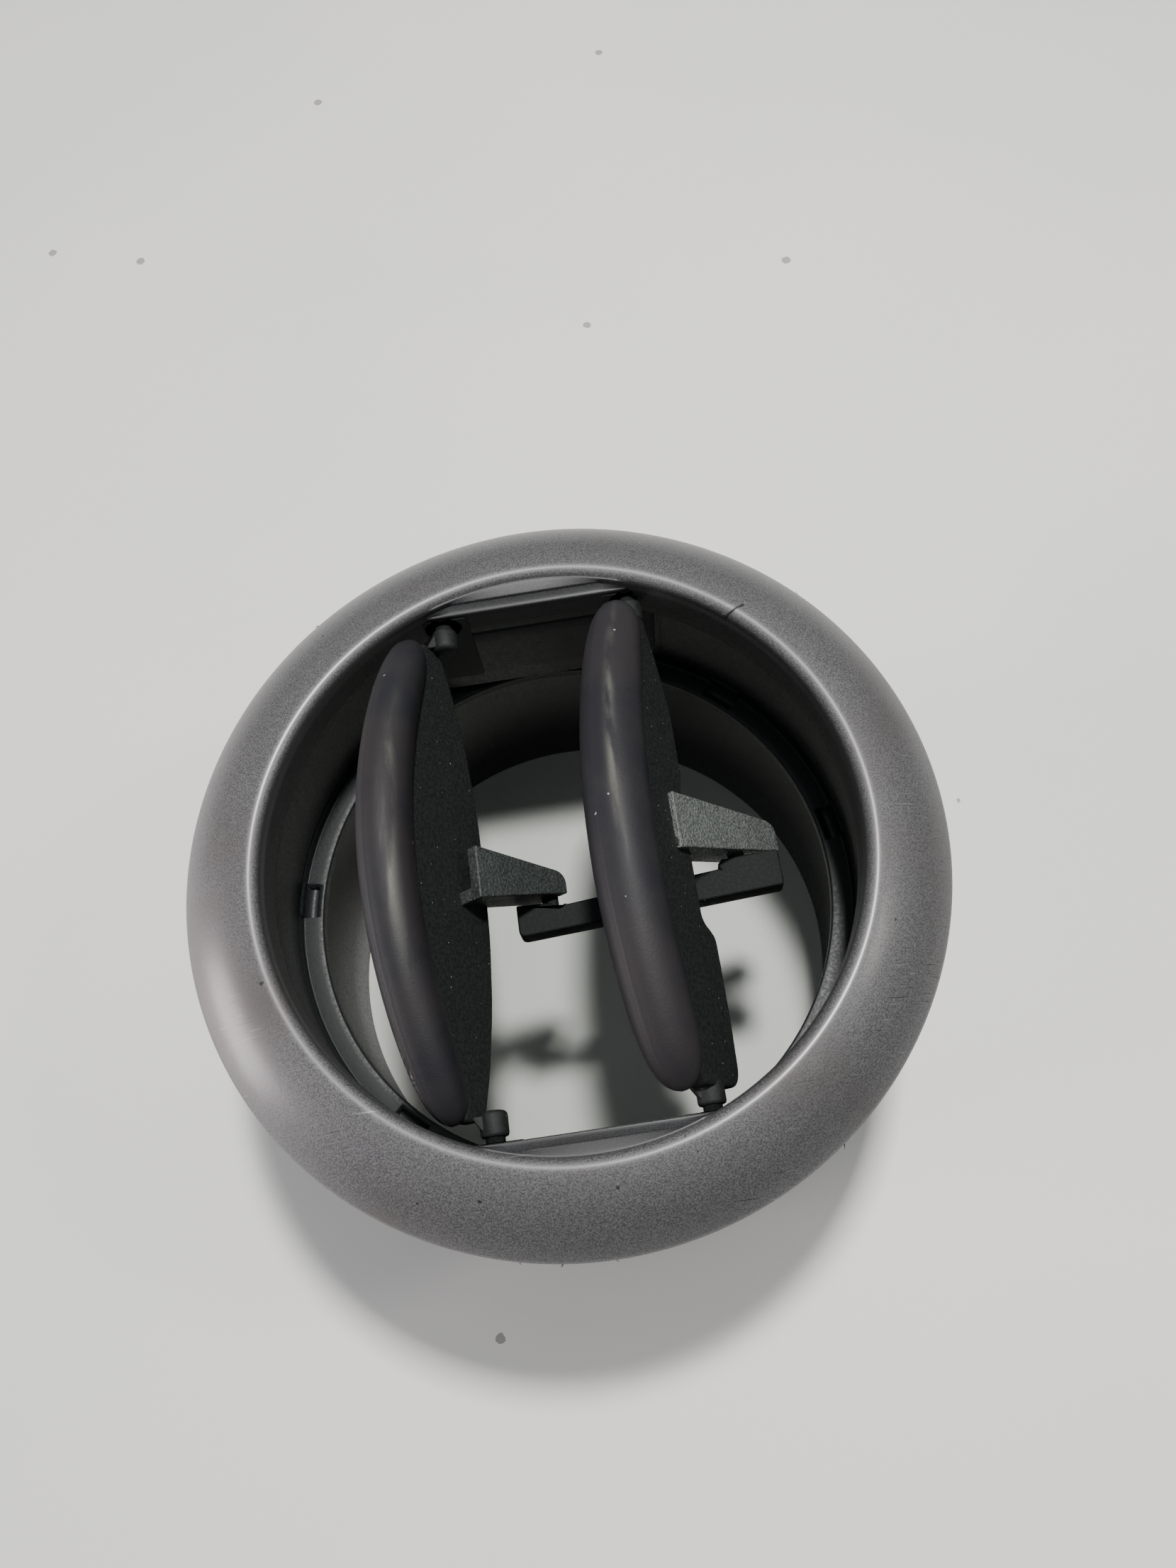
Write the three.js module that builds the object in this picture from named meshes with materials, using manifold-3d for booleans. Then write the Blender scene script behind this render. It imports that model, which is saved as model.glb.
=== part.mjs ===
// Round dashboard air vent: a painted bezel on a black vane housing, a tapered rear sleeve,
// and two soft-covered vanes that a link bar tilts together.
// Millimetres, +Z out of the vent towards the cabin, +X across the vanes, +Y along their pivots.
// Z = 0 is the rear rim of the sleeve, on the vent's centre line.
import * as THREE from "three";
import { mergeVertices } from "three/addons/utils/BufferGeometryUtils.js";
import Module from "manifold-3d";

const wasm = await Module();
wasm.setup();

// ---- driving dimensions ----
const GAP = 0.3; // running and fitting clearance between separate pieces
const SEGMENTS = 64; // facets round each turned piece

const BEZEL_R = 50; // outer edge of the bezel
const EDGE_Z = 57; // height of that edge, and of the hollow behind it
const CREST_Z = 63.3; // highest point of the bezel
const CREST_ROUND = 1.6; // radius of the crest's rounding into the collar
const FACE_START = THREE.MathUtils.degToRad(14); // slope of the face where it leaves the crest
const FACE_END = THREE.MathUtils.degToRad(52.4); // and at the outer edge
const COLLAR_R = 38.4; // inner wall of the painted collar
const COLLAR_WALL = 1.6;
const SEAT_Z = 55.4; // back of the bezel rim, which seats on the dashboard
const JOINT_Z = 55; // painted collar above, black housing below
const RIM_WALL = 1.8; // thickness of the bezel's outer edge
const FACE_WALL = 3; // thickness of the domed face at its crest

const FLAT_Y = 35.6; // the two flat walls that carry the pivots
const FLAT_WALL = 1.8;
const FLAT_FOOT_Z = 39.5; // lower end of the flat walls
const LIP_Z = 61.6; // face of the crescent lip over each flat wall
const LIP_THICK = 1.5;
const LIP_STEP = 0.5; // step along the middle of the lip
const LIP_STEP_Y = 36.9;
const FOOT_HALF = 7; // half length of the stiffening foot on each flat wall
const FOOT_THICK = 1.6;
const SLIT_OFF = 0.9; // flex slit, from the bearing's room to the slit's middle
const SLIT_HALF = 0.35;
const SLIT_Z = [45, 52];

const HOUSING_R = 40.1; // inner wall of the black housing
const HOUSING_WALL = 1.4;
const LEDGE_R = 37; // inner edge of the ledge at the housing's foot
const LEDGE_Z = 37.4; // face of the ledge
const LEDGE_THICK = 1.8;

const SLEEVE_TOP_Z = 53.4;
const SLEEVE_TOP_R = 41.8; // inner radius round the housing
const SLEEVE_NECK_Z = 35.3; // the sleeve tapers below this height
const SLEEVE_FOOT_R = 39.4; // inner radius at the rear rim
const SLEEVE_WALL = 1.8;

const LATCH_ANGLES = [8, 47, 172, 227]; // snap hooks round the sleeve, in degrees
const LATCH_Z = 38.9; // middle of each latch window
const LATCH_WIDE = 5.2;
const LATCH_HIGH = 2.6;
const HOOK_PROUD = 0.2; // how far each hook stands out of its window
const LATCH_SLOT_R = 38; // the slot in the ledge below each window starts at this radius

const HUB_X = [-12.2, 14]; // the two vane pivots
const HUB_Z = 58.2;
const HUB_R = 1.85;
const HUB_IN_Y = 30.4; // the hub runs from here ...
const HUB_OUT_Y = 34.6; // ... to here, clear of the bearing face
const PIN_R = 1.2;
const PIN_END_Y = 36.9;
const BEARING_FACE_Y = 35;
const BEARING_BACK_Y = 37.4;
const BEARING_HALF = 3.6;
const BEARING_Z = [43, 60.2];
const BUSH_R = 2.1;
const BUSH_BORE_R = 1.45;
const BUSH_INSET = 0.15; // the bush sits this far inside both faces of its bearing

const REST_TILT = THREE.MathUtils.degToRad(28); // the vanes lean this far towards -X at rest
const BLADE_OFFSET = [-2.2, 0.4]; // each blade's plane from its hub axis
const BLADE_THICK = 2.2;
const BLADE_TIP_Y = 32.6; // half the blade's length
const NOSE_MID = 12.6; // middle of the soft nose ahead of the pivot, half way along
const NOSE_END = 5; // and at its ends
const NOSE_R = 4.1;
const NOSE_TIP_Y = 29.6; // the rounded ends start here
const NOSE_ROUND = 0.75; // length of a rounded end over the nose's radius
const BLADE_TOP = 11; // the most that the blade reaches ahead of the pivot
const BLADE_INSET = 0.6; // how far its front edge stays behind the nose line

const LINK_PIN_DX = 9.3; // link pins from the hub axis, across
const LINK_PIN_DZ = -11.2; // and behind it
const LINK_PIN_R = 1.15;
const LINK_EYE_R = 1.5;
const LINK_FOOT_Y = [-8, -6]; // lower side of the link bar at its left and right pin
const PIN_SHORT = 0.4; // the pins stop this far short of that side
const LINK_BAR_WIDE = 3.5;
const LINK_DEEP = 3.6;
const LEFT_EYE_X = [-4.6, 2.4]; // the eye block from its pin
const RIGHT_EYE_X = [-2.4, 5.6];
const EYE_DROP = 1.9; // the eye blocks end this far below the levers' tips
const SNAP_MOUTH = 0.8; // width of an eye's snap mouth over the pin's diameter

const ARM_FACE = [0.6, 2.4]; // the lever's flat face, across its thickness
const ARM_WEB = [-2, 2.4]; // the web along its lower edge is deeper
const WEB_THICK = 1.8;
const ARM_START = -0.5; // the lever starts inside the blade
const ARM_CORNER = 0.9; // chamfer on the lever's tip

const CUT_OVER = 3; // a cutting shape runs this far past what it cuts

// ---- colours ----
const SILVER = { color: 0x7d7a7f, roughness: 0.42, metalness: 0.55 };
const BLACK = { color: 0x232829, roughness: 0.55, metalness: 0 };
const SOFT = { color: 0x3d3c43, roughness: 0.6, metalness: 0 };
const RUBBER = { color: 0x1a1a1a, roughness: 0.8, metalness: 0 };

// ---- joining and cutting ----
function solid(geometry) {
  const bare = geometry.clone();
  bare.deleteAttribute("normal");
  bare.deleteAttribute("uv");
  const merged = mergeVertices(bare, 1e-4);
  return new wasm.Manifold(
    new wasm.Mesh({
      numProp: 3,
      vertProperties: merged.attributes.position.array,
      triVerts: new Uint32Array(merged.index.array),
    }),
  );
}

function geometryOf(manifold) {
  const mesh = manifold.getMesh();
  const geometry = new THREE.BufferGeometry();
  geometry.setAttribute("position", new THREE.BufferAttribute(mesh.vertProperties, 3));
  geometry.setIndex(new THREE.BufferAttribute(mesh.triVerts, 1));
  geometry.computeVertexNormals();
  return geometry;
}

const join = (first, ...others) => others.reduce((sum, other) => sum.add(other), first);
const cut = (first, ...others) => others.reduce((rest, other) => rest.subtract(other), first);

// ---- simple solids ----
// A ring turned about Z from a closed outline of [radius, z] points, listed anticlockwise.
function ring(outline) {
  const points = [...outline, outline[0]].map(([r, z]) => new THREE.Vector2(r, z));
  return solid(new THREE.LatheGeometry(points, SEGMENTS).rotateX(Math.PI / 2));
}

// A stretch of |Y| laid on one side of the vent, in rising order.
const onSide = (stretch, side) => stretch.map((y) => y * side).sort((a, b) => a - b);

// A box between two corners.
function box(x, y, z) {
  const geometry = new THREE.BoxGeometry(x[1] - x[0], y[1] - y[0], z[1] - z[0]);
  geometry.translate((x[0] + x[1]) / 2, (y[0] + y[1]) / 2, (z[0] + z[1]) / 2);
  return solid(geometry);
}

// A cylinder along Y, between two heights.
function barY(x, z, radius, yFrom, yTo, sides = 20) {
  const geometry = new THREE.CylinderGeometry(radius, radius, yTo - yFrom, sides);
  geometry.translate(x, (yFrom + yTo) / 2, z);
  return solid(geometry);
}

// The part of a disc of this radius that lies beyond a chord, between two heights.
function segment(radius, chord, zFrom, zTo, side) {
  const half = Math.acos(chord / radius);
  const middle = (side * Math.PI) / 2;
  const shape = new THREE.Shape();
  shape.absarc(0, 0, radius, middle - half, middle + half, false);
  shape.closePath();
  const geometry = new THREE.ExtrudeGeometry(shape, {
    depth: zTo - zFrom,
    bevelEnabled: false,
    curveSegments: 24,
  });
  geometry.translate(0, 0, zFrom);
  return solid(geometry);
}

// A flat plate in the XY plane from an outline, between two heights.
function plate(points, zFrom, zTo) {
  const shape = new THREE.Shape(points.map(([x, y]) => new THREE.Vector2(x, y)));
  const geometry = new THREE.ExtrudeGeometry(shape, { depth: zTo - zFrom, bevelEnabled: false });
  geometry.translate(0, 0, zFrom);
  return solid(geometry);
}

// ---- bezel ----
// The flared rim in section: rim edge, domed face, rounded inner edge and collar.
function bezelOutline() {
  // A point on an arc where the surface has this slope, falling outwards.
  const onArc = ([r, z], radius, slope) => [r + radius * Math.sin(slope), z + radius * Math.cos(slope)];
  const crest = [COLLAR_R + CREST_ROUND, CREST_Z - CREST_ROUND];
  const start = onArc(crest, CREST_ROUND, FACE_START);
  const sweep = (BEZEL_R - start[0]) / (Math.sin(FACE_END) - Math.sin(FACE_START));
  const centre = onArc(start, -sweep, FACE_START);
  const outline = [
    [BEZEL_R - RIM_WALL, SEAT_Z],
    [BEZEL_R, SEAT_Z],
  ];
  const faceSteps = 8;
  for (let i = 0; i <= faceSteps; i++) {
    outline.push(onArc(centre, sweep, FACE_END + (i / faceSteps) * (FACE_START - FACE_END)));
  }
  const crestSteps = 5;
  for (let i = 1; i <= crestSteps; i++) {
    outline.push(onArc(crest, CREST_ROUND, FACE_START - (i / crestSteps) * (FACE_START + Math.PI / 2)));
  }
  const outer = COLLAR_R + COLLAR_WALL;
  outline.push([COLLAR_R, JOINT_Z + GAP], [outer, JOINT_Z + GAP]);
  outline.push([outer, CREST_Z - FACE_WALL], [outer + FACE_WALL, CREST_Z - FACE_WALL]);
  outline.push([BEZEL_R - FACE_WALL, EDGE_Z]);
  return outline;
}

// One crescent lip with its step and the painted strip of flat wall below it.
function lipParts(side) {
  const reach = COLLAR_R + COLLAR_WALL / 2;
  const wall = onSide([FLAT_Y, FLAT_Y + COLLAR_WALL], side);
  const halfChord = Math.sqrt(reach ** 2 - (FLAT_Y + COLLAR_WALL) ** 2);
  return [
    segment(reach, FLAT_Y, LIP_Z - LIP_THICK, LIP_Z, side),
    segment(reach, LIP_STEP_Y, LIP_Z - LIP_THICK, LIP_Z + LIP_STEP, side),
    box([-halfChord, halfChord], wall, [JOINT_Z + GAP, LIP_Z - LIP_THICK / 2]),
  ];
}

// Room round one bearing insert in whatever holds it.
function bearingRoom(x, side) {
  const y = onSide([BEARING_FACE_Y - CUT_OVER, BEARING_BACK_Y + CUT_OVER], side);
  const half = BEARING_HALF + GAP;
  return box([x - half, x + half], y, [BEARING_Z[0] - GAP, BEARING_Z[1] + GAP]);
}

const PIVOTS = HUB_X.flatMap((x) => [
  [x, 1],
  [x, -1],
]);

function bezelRing() {
  const lips = [...lipParts(1), ...lipParts(-1)];
  const rooms = PIVOTS.map(([x, side]) => bearingRoom(x, side));
  return cut(join(ring(bezelOutline()), ...lips), ...rooms);
}

// ---- vane housing ----
function housingOutline() {
  const outer = HOUSING_R + HOUSING_WALL;
  return [
    [LEDGE_R, LEDGE_Z - LEDGE_THICK],
    [outer, LEDGE_Z - LEDGE_THICK],
    [outer, JOINT_Z],
    [HOUSING_R, JOINT_Z],
    [HOUSING_R, LEDGE_Z],
    [LEDGE_R, LEDGE_Z],
  ];
}

// A block for one snap hook, or for its window; margin is the room left round the hook.
function latchBlock(degrees, rFrom, rTo, margin) {
  const wide = LATCH_WIDE / 2 + margin;
  const high = LATCH_HIGH / 2 + margin;
  const block = box([rFrom, rTo], [-wide, wide], [LATCH_Z - high, LATCH_Z + high]);
  return block.rotate([0, 0, degrees]);
}

// The slot through the ledge below each window, which lets the window be moulded.
function latchSlot(degrees) {
  const half = LATCH_WIDE / 2;
  const slot = box([LATCH_SLOT_R, HOUSING_R], [-half, half], [LEDGE_Z - CUT_OVER, LATCH_Z]);
  return slot.rotate([0, 0, degrees]);
}

function flatWall(side) {
  const reach = HOUSING_R + HOUSING_WALL / 2;
  const behind = segment(reach + 1, FLAT_Y + FLAT_WALL, FLAT_FOOT_Z - 1, JOINT_Z + 1, side);
  const wall = cut(segment(reach, FLAT_Y, FLAT_FOOT_Z, JOINT_Z, side), behind);
  const footY = onSide([FLAT_Y, HOUSING_R], side);
  const foot = box([-FOOT_HALF, FOOT_HALF], footY, [FLAT_FOOT_Z, FLAT_FOOT_Z + FOOT_THICK]);
  return join(wall, foot);
}

// The open slit beside each bearing, which lets the wall flex when a vane is snapped in.
function flexSlit(x, side) {
  const middle = x + Math.sign(x) * (BEARING_HALF + GAP + SLIT_OFF);
  const y = onSide([FLAT_Y - CUT_OVER, FLAT_Y + FLAT_WALL], side);
  return box([middle - SLIT_HALF, middle + SLIT_HALF], y, SLIT_Z);
}

function vaneHousing() {
  const body = join(ring(housingOutline()), flatWall(1), flatWall(-1));
  const windows = LATCH_ANGLES.flatMap((a) => [
    latchBlock(a, HOUSING_R - 1, HOUSING_R + CUT_OVER, 0),
    latchSlot(a),
  ]);
  const rooms = PIVOTS.map(([x, side]) => bearingRoom(x, side));
  const slits = PIVOTS.map(([x, side]) => flexSlit(x, side));
  return cut(body, ...windows, ...rooms, ...slits);
}

// ---- bearings ----
function bearing(x, side) {
  const y = onSide([BEARING_FACE_Y, BEARING_BACK_Y], side);
  const block = box([x - BEARING_HALF, x + BEARING_HALF], y, BEARING_Z);
  return cut(block, barY(x, HUB_Z, BUSH_R + GAP, y[0] - 1, y[1] + 1));
}

function bush(x, side) {
  const y = onSide([BEARING_FACE_Y + BUSH_INSET, BEARING_BACK_Y - BUSH_INSET], side);
  return cut(barY(x, HUB_Z, BUSH_R, ...y), barY(x, HUB_Z, BUSH_BORE_R, y[0] - 1, y[1] + 1));
}

// ---- rear sleeve ----
function sleeveOutline() {
  return [
    [SLEEVE_FOOT_R, 0],
    [SLEEVE_FOOT_R + SLEEVE_WALL, 0],
    [SLEEVE_TOP_R + SLEEVE_WALL, SLEEVE_NECK_Z],
    [SLEEVE_TOP_R + SLEEVE_WALL, SLEEVE_TOP_Z],
    [SLEEVE_TOP_R, SLEEVE_TOP_Z],
    [SLEEVE_TOP_R, SLEEVE_NECK_Z],
  ];
}

function rearSleeve() {
  const rTo = SLEEVE_TOP_R + SLEEVE_WALL / 2;
  const hooks = LATCH_ANGLES.map((a) => latchBlock(a, HOUSING_R - HOOK_PROUD, rTo, -GAP));
  return join(ring(sleeveOutline()), ...hooks);
}

// ---- vanes ----
// How far the nose line runs ahead of the pivot at a place along the vane.
const noseLine = (y) => NOSE_END + (NOSE_MID - NOSE_END) * (1 - (y / NOSE_TIP_Y) ** 2);

class NoseCurve extends THREE.Curve {
  getPoint(t, target = new THREE.Vector3()) {
    const y = (2 * t - 1) * NOSE_TIP_Y;
    return target.set(0, y, noseLine(y));
  }
}

// The soft nose, upright in its own frame: a round bar along the nose line with ball ends.
function noseBar(radius) {
  const section = new THREE.Shape();
  section.absarc(0, 0, radius, 0, 2 * Math.PI, false);
  const bar = new THREE.ExtrudeGeometry(section, {
    steps: 20,
    curveSegments: 8,
    extrudePath: new NoseCurve(),
    bevelEnabled: false,
  });
  const balls = [-1, 1].map((side) => {
    const ball = new THREE.SphereGeometry(radius, 16, 10);
    ball.rotateX(Math.PI / 2);
    ball.scale(1, NOSE_ROUND, 1);
    ball.translate(0, side * NOSE_TIP_Y, NOSE_END);
    return solid(ball);
  });
  return join(solid(bar), ...balls);
}

// The blade's outline in its own plane: y along the vane, s ahead of the pivot.
function bladeOutline(tail) {
  const outline = [];
  const steps = 12;
  for (let i = 0; i <= steps; i++) {
    const y = BLADE_TIP_Y * (1 - (2 * i) / steps);
    const front = Math.min(noseLine(Math.min(Math.abs(y), NOSE_TIP_Y)), BLADE_TOP);
    outline.push([y, front - BLADE_INSET]);
  }
  return outline.concat(tail);
}

// A plate in the blade's plane, upright: its outline is [y, s] points.
function bladePlate(outline, thickness, grow = 0) {
  const shape = new THREE.Shape(outline.map(([y, s]) => new THREE.Vector2(y, s)));
  const depth = thickness + 2 * grow;
  const geometry = new THREE.ExtrudeGeometry(shape, { depth, bevelEnabled: false });
  geometry.applyMatrix4(
    new THREE.Matrix4().makeBasis(
      new THREE.Vector3(0, 1, 0),
      new THREE.Vector3(0, 0, 1),
      new THREE.Vector3(1, 0, 0),
    ),
  );
  geometry.translate(-depth / 2, 0, 0);
  return solid(geometry);
}

// The rear edges: the left blade's is a plain bow, the right one's is cut away round the link.
const LEFT_TAIL = [
  [-BLADE_TIP_Y, -0.6],
  [-26, -2.8],
  [-18, -4.6],
  [-9, -5.7],
  [0, -6],
  [9, -5.7],
  [18, -4.6],
  [26, -2.8],
  [BLADE_TIP_Y, -0.6],
];
const RIGHT_TAIL = [
  [-BLADE_TIP_Y, -4.6],
  [-31, -6],
  [-24, -6.4],
  [-14.5, -6.4],
  [-13, -4.4],
  [-10.5, -3.2],
  [6, -3.2],
  [8.5, -4.4],
  [18, -4.6],
  [26, -2.8],
  [BLADE_TIP_Y, -0.6],
];

const VANES = {
  left: {
    x: HUB_X[0],
    offset: BLADE_OFFSET[0],
    tail: LEFT_TAIL,
    armRoot: [-5.2, 1.9],
    armTip: [-2.5, -0.2],
    reach: 1.2,
    pinFoot: LINK_FOOT_Y[0] + PIN_SHORT,
  },
  right: {
    x: HUB_X[1],
    offset: BLADE_OFFSET[1],
    tail: RIGHT_TAIL,
    armRoot: [-2.6, 5.2],
    armTip: [0.4, 4],
    reach: 7.4,
    pinFoot: LINK_FOOT_Y[1] + PIN_SHORT,
  },
};

// Stands an upright vane shape on its hub axis at the rest tilt.
function place(shape, vane) {
  const degrees = THREE.MathUtils.radToDeg(-REST_TILT);
  return shape.translate([vane.offset, 0, 0]).rotate([0, degrees, 0]).translate([vane.x, 0, HUB_Z]);
}

// The lever behind the blade: a tapering plate with a web along its -Y edge and the link pin.
function leverArm(vane) {
  const pin = { x: vane.x + LINK_PIN_DX, z: HUB_Z + LINK_PIN_DZ };
  const length = Math.hypot(LINK_PIN_DX, LINK_PIN_DZ) + vane.reach;
  const slope = Math.atan2(-LINK_PIN_DZ, LINK_PIN_DX);
  const [y0, y1] = vane.armRoot;
  const [t0, t1] = vane.armTip;
  const faceOutline = [
    [ARM_START, y0],
    [length, t0],
    [length, t1],
    [length - ARM_CORNER, t1 + ARM_CORNER],
    [ARM_START, y1],
  ];
  const webOutline = [
    [ARM_START, y0],
    [length, t0],
    [length, t0 + WEB_THICK],
    [ARM_START, y0 + WEB_THICK],
  ];
  const arm = join(plate(faceOutline, ...ARM_FACE), plate(webOutline, ...ARM_WEB))
    .rotate([0, THREE.MathUtils.radToDeg(slope), 0])
    .translate([vane.x, 0, HUB_Z]);
  return join(arm, barY(pin.x, pin.z, LINK_PIN_R, vane.pinFoot, t0 + WEB_THICK / 2, 16));
}

function vaneCore(vane) {
  const blade = place(bladePlate(bladeOutline(vane.tail), BLADE_THICK), vane);
  const hubs = [1, -1].flatMap((side) => {
    const hub = onSide([HUB_IN_Y, HUB_OUT_Y], side);
    const pin = onSide([HUB_IN_Y, PIN_END_Y], side);
    return [barY(vane.x, HUB_Z, HUB_R, ...hub), barY(vane.x, HUB_Z, PIN_R, ...pin, 16)];
  });
  return join(blade, ...hubs, leverArm(vane));
}

function vaneCover(vane) {
  const slot = place(bladePlate(bladeOutline(vane.tail), BLADE_THICK, GAP), vane);
  const hubRooms = [1, -1].map((side) => {
    return barY(vane.x, HUB_Z, HUB_R + GAP, ...onSide([HUB_IN_Y - GAP, HUB_OUT_Y], side));
  });
  return cut(place(noseBar(NOSE_R), vane), slot, ...hubRooms);
}

// ---- link bar ----
function linkBar() {
  const z = HUB_Z + LINK_PIN_DZ;
  const deep = [z - LINK_DEEP / 2, z + LINK_DEEP / 2];
  const [left, right] = HUB_X.map((x) => x + LINK_PIN_DX);
  const [leftFoot, rightFoot] = LINK_FOOT_Y;
  const bar = plate(
    [
      [left, leftFoot],
      [right, rightFoot],
      [right, rightFoot + LINK_BAR_WIDE],
      [left, leftFoot + LINK_BAR_WIDE],
    ],
    ...deep,
  );
  const leftX = LEFT_EYE_X.map((dx) => left + dx);
  const rightX = RIGHT_EYE_X.map((dx) => right + dx);
  const leftBlock = box(leftX, [leftFoot, VANES.left.armTip[0] - EYE_DROP], deep);
  const rightBlock = box(rightX, [rightFoot, VANES.right.armTip[0] - EYE_DROP], deep);
  const mouth = LINK_PIN_R * SNAP_MOUTH;
  const past = [leftFoot - CUT_OVER, CUT_OVER];
  const eyes = [left, right].flatMap((x) => [
    barY(x, z, LINK_EYE_R, ...past),
    box([x - mouth, x + mouth], past, [z, z + LINK_DEEP]),
  ]);
  return cut(join(bar, leftBlock, rightBlock), ...eyes);
}

// ---- assembly ----
const vent = new THREE.Group();

function add(name, manifold, finish, parent = vent) {
  const mesh = new THREE.Mesh(geometryOf(manifold), new THREE.MeshStandardMaterial(finish));
  mesh.name = name;
  parent.add(mesh);
}

add("bezel_ring", bezelRing(), SILVER);
add("vane_housing", vaneHousing(), BLACK);
add("rear_sleeve", rearSleeve(), BLACK);

for (const [x, side] of PIVOTS) {
  const corner = (x < 0 ? "left" : "right") + (side > 0 ? "_top" : "_bottom");
  add("pivot_bearing_" + corner, bearing(x, side), BLACK);
  add("pivot_bush_" + corner, bush(x, side), RUBBER);
}

for (const [name, vane] of Object.entries(VANES)) {
  const group = new THREE.Group();
  vent.add(group);
  add("vane_core_" + name, vaneCore(vane), BLACK, group);
  add("vane_cover_" + name, vaneCover(vane), SOFT, group);
}

add("link_bar", linkBar(), BLACK);

export default vent;
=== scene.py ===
import math

import bpy
import numpy as np
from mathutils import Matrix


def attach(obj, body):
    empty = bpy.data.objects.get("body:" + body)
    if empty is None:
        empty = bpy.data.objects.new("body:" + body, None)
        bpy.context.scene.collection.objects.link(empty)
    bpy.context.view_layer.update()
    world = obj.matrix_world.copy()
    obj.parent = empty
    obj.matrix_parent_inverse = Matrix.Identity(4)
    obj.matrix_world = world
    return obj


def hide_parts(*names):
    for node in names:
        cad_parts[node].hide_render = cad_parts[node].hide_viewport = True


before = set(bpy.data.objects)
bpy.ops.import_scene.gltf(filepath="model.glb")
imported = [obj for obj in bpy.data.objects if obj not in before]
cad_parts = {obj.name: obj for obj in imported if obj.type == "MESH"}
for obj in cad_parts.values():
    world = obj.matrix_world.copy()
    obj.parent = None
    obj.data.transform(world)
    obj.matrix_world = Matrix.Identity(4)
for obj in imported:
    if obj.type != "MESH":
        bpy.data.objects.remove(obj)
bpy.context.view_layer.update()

scene = bpy.context.scene

# ---- Camera ----
# Looks down into the vent from above its lower edge, a little off its axis.
camera = bpy.data.objects.new("view_camera", bpy.data.cameras.new("view_camera"))
scene.collection.objects.link(camera)
camera.location = (0.00814, -0.05272, 0.20814)
camera.rotation_euler = (0.3819, 0.0766, -0.1342)
camera.data.sensor_fit = "HORIZONTAL"
camera.data.sensor_width = 36
camera.data.lens = 37.43
camera.data.clip_start = 0.01
scene.camera = camera

# ---- Lights ----
# A small close ceiling lamp leans from behind the vent and throws its shadow, with a soft window on the
# left and a faint fill on the right. The pale room is brighter overhead, and darker on the near side,
# where whoever looks at the vent stands.


def add_node(tree, kind, inputs=None, **settings):
    """Puts one shader node into a tree, sets its properties and then its sockets by name or number."""
    made = tree.nodes.new(kind)
    for key, value in settings.items():
        setattr(made, key, value)
    for key, value in (inputs or {}).items():
        if isinstance(value, bpy.types.NodeSocket):
            tree.links.new(value, made.inputs[key])
        else:
            made.inputs[key].default_value = value
    return made


def ramp(tree, value, low, high, bottom=0.0, top=1.0):
    """bottom where value is below low and top where it is above high, smoothly between."""
    limits = {"Value": value, "From Min": low, "From Max": high, "To Min": bottom, "To Max": top}
    return add_node(tree, "ShaderNodeMapRange", limits, interpolation_type="SMOOTHSTEP").outputs["Result"]


def calculate(tree, operation, *values):
    """One Math node over its two or three values."""
    return add_node(tree, "ShaderNodeMath", dict(enumerate(values)), operation=operation).outputs[0]


world = bpy.data.worlds.new("pale_room")
scene.world = world
world.use_nodes = True
sky = world.node_tree
room = add_node(sky, "ShaderNodeTexCoord").outputs["Generated"]
direction = add_node(sky, "ShaderNodeSeparateXYZ", {0: room})
near_side = ramp(sky, direction.outputs["Y"], -0.9, 0.1, 0.45, 1.0)
overhead = ramp(sky, direction.outputs["Z"], 0.05, 0.95, 0.17, 0.66)
strength = calculate(sky, "MULTIPLY", near_side, overhead)
sky.links.new(strength, sky.nodes["Background"].inputs["Strength"])
sky.nodes["Background"].inputs["Color"].default_value = (0.82, 0.86, 0.89, 1)


def area_lamp(name, place, aim, size, power, tint):
    """A square lamp at place, turned so that it faces the point aim."""
    lamp = bpy.data.objects.new(name, bpy.data.lights.new(name, "AREA"))
    scene.collection.objects.link(lamp)
    lamp.location = place
    away = np.array(place) - np.array(aim)
    lamp.rotation_euler = (
        math.atan2(math.hypot(away[0], away[1]), away[2]),
        0,
        math.atan2(away[1], away[0]) + math.pi / 2,
    )
    lamp.data.size = size
    lamp.data.energy = power
    lamp.data.color = tint


area_lamp("ceiling_lamp", (0.07, 0.12, 0.62), (0, 0, 0), 0.055, 5.0, (1, 0.985, 0.96))
area_lamp("left_window", (-1.3, -0.08, 0.24), (0, 0, 0.06), 0.5, 15.0, (1, 0.92, 0.93))
area_lamp("right_fill", (0.72, -0.04, 0.86), (0, 0, 0.05), 0.12, 1.4, (1, 0.94, 0.86))

# ---- Table top ----
# A pale laminate sheet with a faint cloudy tone, a few specks of dirt and a low sheen. It lies a hair
# below the rear rim, and a darker round patch under the vent is painted shade.
FLOOR_HALF = 3.0
FLOOR_DROP = 0.00005
SHADE_PATCH_IN = 0.034
SHADE_PATCH_OUT = 0.052


def new_material(name):
    """A node material, with its tree, its Principled shader and the Object coordinates of its patterns."""
    material = bpy.data.materials.new(name)
    material.use_nodes = True
    tree = material.node_tree
    place = add_node(tree, "ShaderNodeTexCoord").outputs["Object"]
    return material, tree, tree.nodes["Principled BSDF"], place


def spread(tree, value, low, high):
    """low where value is 0 and high where it is 1, in a straight line."""
    limits = {"Value": value, "To Min": low, "To Max": high}
    return add_node(tree, "ShaderNodeMapRange", limits).outputs["Result"]


def noise(tree, place, scale, detail):
    """Soft noise about 0.5."""
    inputs = {"Vector": place, "Scale": scale, "Detail": detail}
    return add_node(tree, "ShaderNodeTexNoise", inputs).outputs["Fac"]


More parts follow.
